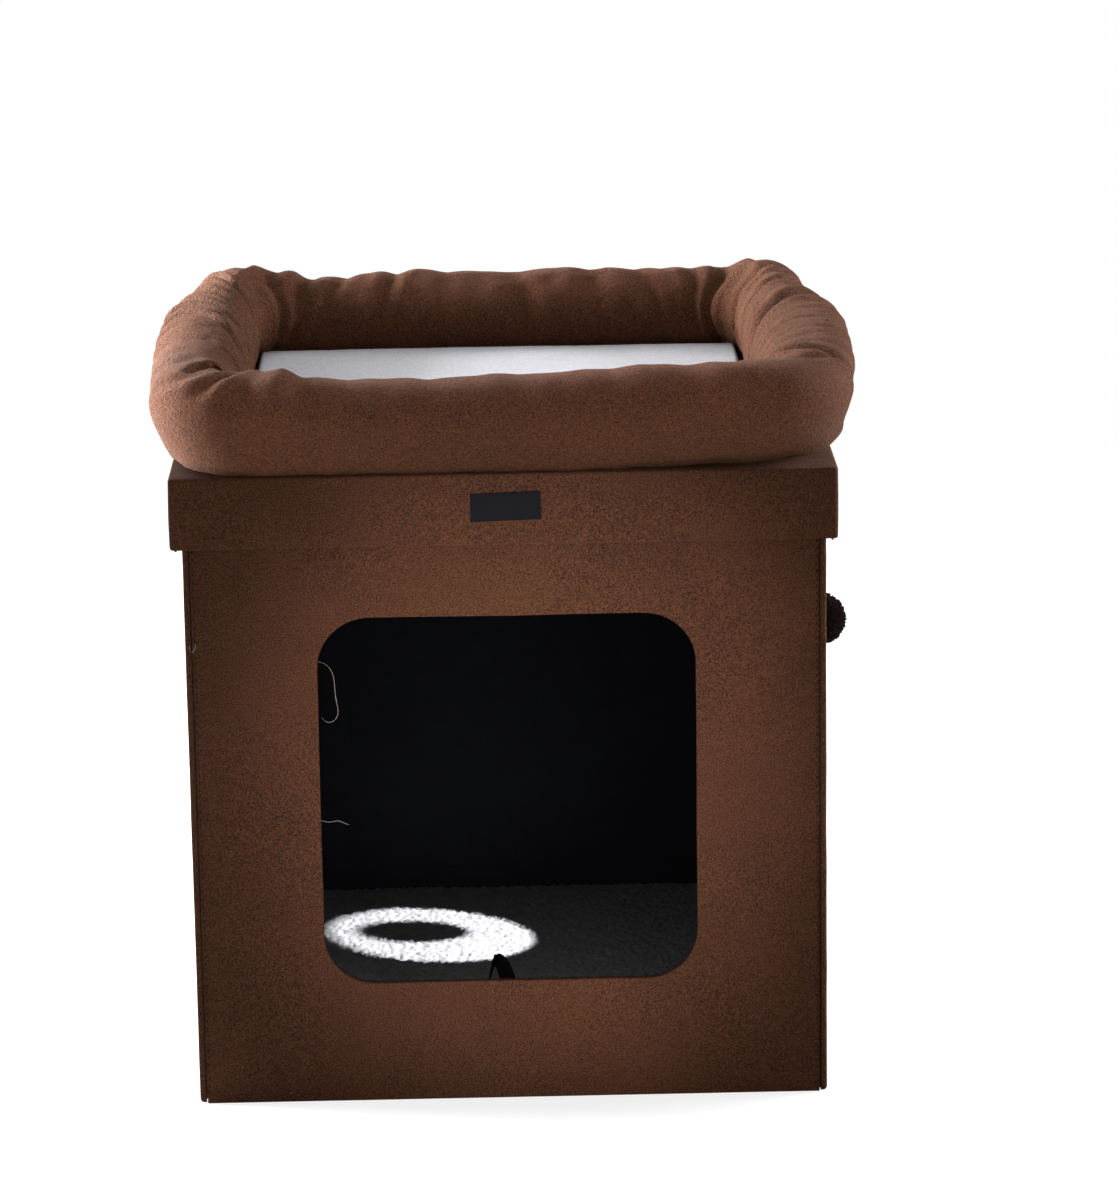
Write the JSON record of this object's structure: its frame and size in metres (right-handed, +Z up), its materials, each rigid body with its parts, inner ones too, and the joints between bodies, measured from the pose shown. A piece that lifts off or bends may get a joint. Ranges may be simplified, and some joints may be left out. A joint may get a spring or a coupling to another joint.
{
  "type": "cat condo",
  "caption": "Square cloth-covered cat condo with a front doorway, a round side window with a hanging ball, a flip-up floor panel and a lift-off lid with a bolster bed.",
  "frame": {"origin": "on the ground, under the middle of the box", "axes": "+X to the right of the doorway as seen from the front, towards the window; +Y to the back; +Z up"},
  "size_m": [0.4168, 0.4168, 0.4369],
  "materials": {
    "suede": "matte",
    "inner_cloth": "matte",
    "fibreboard": "matte",
    "seam": "matte",
    "grey_fleece": "matte",
    "foam": "matte",
    "stuffing": "matte",
    "woven_patch": "satin",
    "ribbon": "satin",
    "pompom_yarn": "matte",
    "elastic": "matte"
  },
  "bodies": {
    "box": {"front_cover": "suede", "back_cover": "suede", "left_cover": "suede", "right_cover": "suede", "front_lining": "inner_cloth", "back_lining": "inner_cloth", "left_lining": "inner_cloth", "right_lining": "inner_cloth", "front_board": "fibreboard", "back_board": "fibreboard", "left_board_front": "fibreboard", "left_board_rear": "fibreboard", "right_board_front": "fibreboard", "right_board_rear": "fibreboard", "corner_seam_front_left": "seam", "corner_seam_front_right": "seam", "corner_seam_back_left": "seam", "corner_seam_back_right": "seam", "hinge_tape": "inner_cloth", "toy_tab": "ribbon"},
    "lid": {"lid_cover": "suede", "lid_board": "fibreboard", "skirt_board_front": "fibreboard", "skirt_board_back": "fibreboard", "skirt_board_left": "fibreboard", "skirt_board_right": "fibreboard", "lid_lining": "inner_cloth", "label_patch": "woven_patch", "bolster_cover": "suede", "bolster_fill": "stuffing", "bed_fleece": "grey_fleece", "bed_foam": "foam"},
    "floor_panel": {"floor_underside": "inner_cloth", "floor_board": "fibreboard", "floor_foam": "foam", "floor_fleece": "grey_fleece", "pull_loop": "ribbon"},
    "toy_knot": {"toy_knot": "elastic"},
    "toy_ball": {"toy_elastic": "elastic", "toy_pompom": "pompom_yarn"}
  },
  "joints": [
    {"name": "lid_lift", "type": "slide", "parent": "box", "child": "lid", "axis": [0, 0, 1], "range_m": [0, 0.15]},
    {"name": "floor_flip", "type": "hinge", "parent": "box", "child": "floor_panel", "pos_m": [0, 0.1779, 0.019], "axis": [-1, 0, 0], "range_deg": [0, 80]},
    {"name": "ball_swing_out", "type": "hinge", "parent": "box", "child": "toy_knot", "pos_m": [0.192, 0, 0.2609], "axis": [0, -1, 0], "range_deg": [-30, 60]},
    {"name": "ball_swing_side", "type": "hinge", "parent": "toy_knot", "child": "toy_ball", "pos_m": [0.192, 0, 0.2609], "axis": [1, 0, 0], "range_deg": [-20, 20]}
  ]
}
